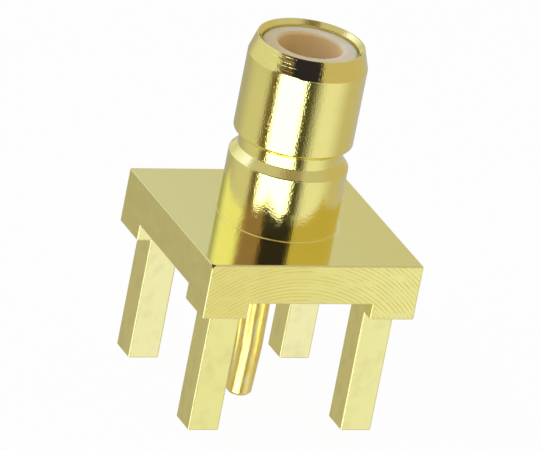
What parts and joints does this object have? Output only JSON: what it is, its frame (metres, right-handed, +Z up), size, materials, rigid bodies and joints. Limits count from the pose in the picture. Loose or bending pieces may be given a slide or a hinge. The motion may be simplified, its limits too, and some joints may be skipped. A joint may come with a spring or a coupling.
{
  "type": "board-mount coaxial jack",
  "caption": "Straight board-mount coaxial jack with a snap-groove barrel, a square flange, square corner legs and a centre solder tail.",
  "frame": {"origin": "under the centre of the square flange, at the level of the tail's lowest point, which is 0.15 mm below the leg ends", "axes": "+Z up the barrel towards its open nose, +X and +Y square to the flange's sides"},
  "size_m": [0.007, 0.007, 0.0118],
  "materials": {
    "gold_plate": "polished gold plating over turned and milled brass",
    "white_ptfe": "turned white PTFE, slightly waxy",
    "contact_gold_plate": "gold plating over turned brass, a little duller on the tail"
  },
  "bodies": {
    "root": {"jack_body": "gold_plate", "insulator": "white_ptfe", "centre_contact": "contact_gold_plate"}
  },
  "joints": []
}
